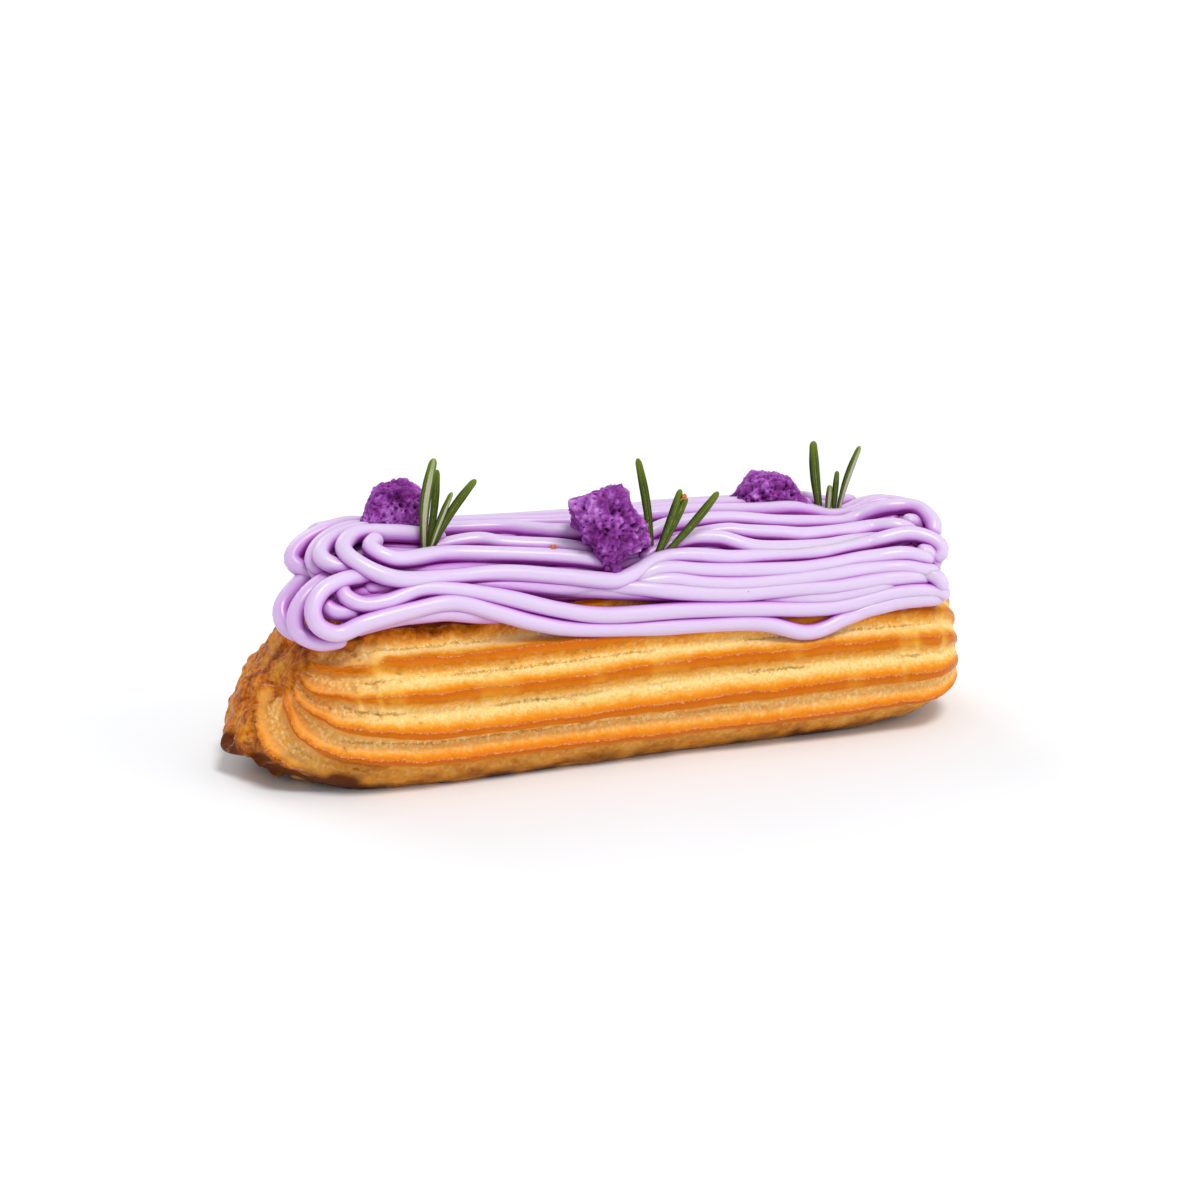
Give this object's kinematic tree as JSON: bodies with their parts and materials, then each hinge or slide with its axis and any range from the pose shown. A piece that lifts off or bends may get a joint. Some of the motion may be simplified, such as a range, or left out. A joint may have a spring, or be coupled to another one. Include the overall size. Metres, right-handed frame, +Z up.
{
  "type": "eclair",
  "caption": "Eclair with a ridged choux shell, a heap of piped lavender-coloured cream on top, and pieces of purple cake and rosemary sprigs standing in the cream.",
  "frame": {"origin": "on the shell's flat underside, near the middle of its length and width", "axes": "+X along the shell, away from the end with the thick looped cream; -Y towards the side where the middle cake is pressed into the cream; +Z up"},
  "size_m": [0.1294, 0.0444, 0.0522],
  "materials": {
    "choux": "baked crust, satin",
    "cream": "moist, soft sheen",
    "cake": "porous crumb, matte",
    "rosemary": "leaf, satin"
  },
  "bodies": {
    "root": {"shell": "choux", "cream": "cream", "cake_left": "cake", "cake_middle": "cake", "cake_right": "cake", "rosemary_left": "rosemary", "rosemary_middle": "rosemary", "rosemary_right": "rosemary"}
  },
  "joints": []
}
